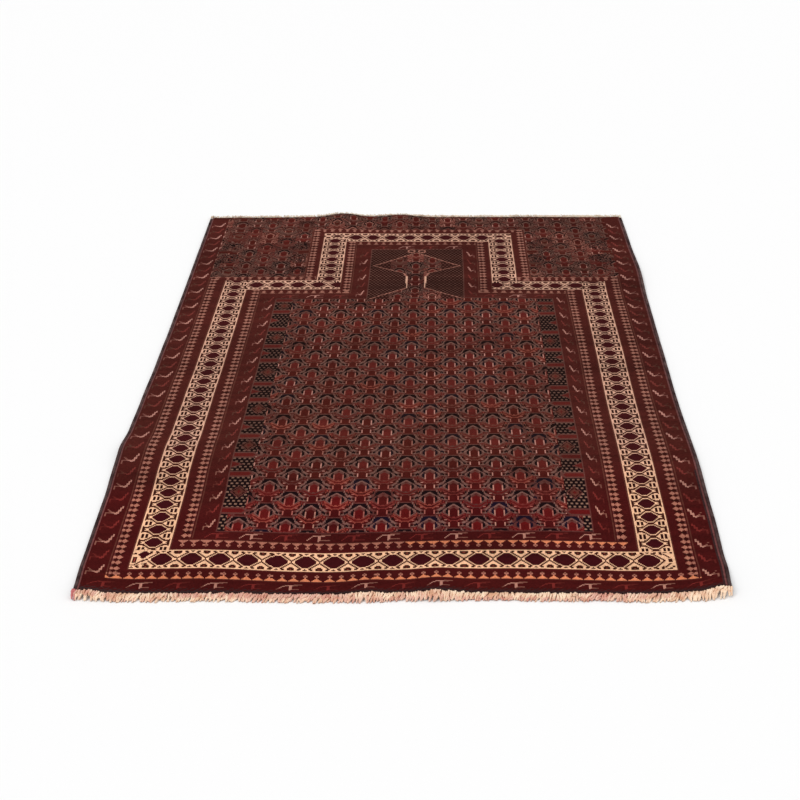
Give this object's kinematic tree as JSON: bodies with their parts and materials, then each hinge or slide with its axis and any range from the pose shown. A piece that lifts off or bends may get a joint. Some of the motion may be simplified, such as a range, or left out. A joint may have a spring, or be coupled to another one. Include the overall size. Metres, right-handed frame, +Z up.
{
  "type": "flat baluch prayer rug",
  "caption": "Hand-knotted wool prayer rug with a stepped niche, laid flat, with overcast side selvedges and warp fringes at both ends.",
  "frame": {"origin": "on the floor under the middle of the rug's outline, fringes included", "axes": "+X across the rug to the right, +Y along it towards the end with the niche, +Z up"},
  "size_m": [0.9176, 1.392, 0.0148],
  "materials": {
    "wool_pile": "short cut wool pile, dark reds, navy and ivory, dull with a soft sheen",
    "goat_hair": "overcast dark goat hair, slightly glossy and uneven",
    "warp_yarn": "undyed two-ply wool and cotton warp ends, matt"
  },
  "bodies": {
    "root": {"rug_body": "wool_pile", "selvedge_left": "goat_hair", "selvedge_right": "goat_hair", "fringe_near": "warp_yarn", "fringe_far": "warp_yarn"}
  },
  "joints": []
}
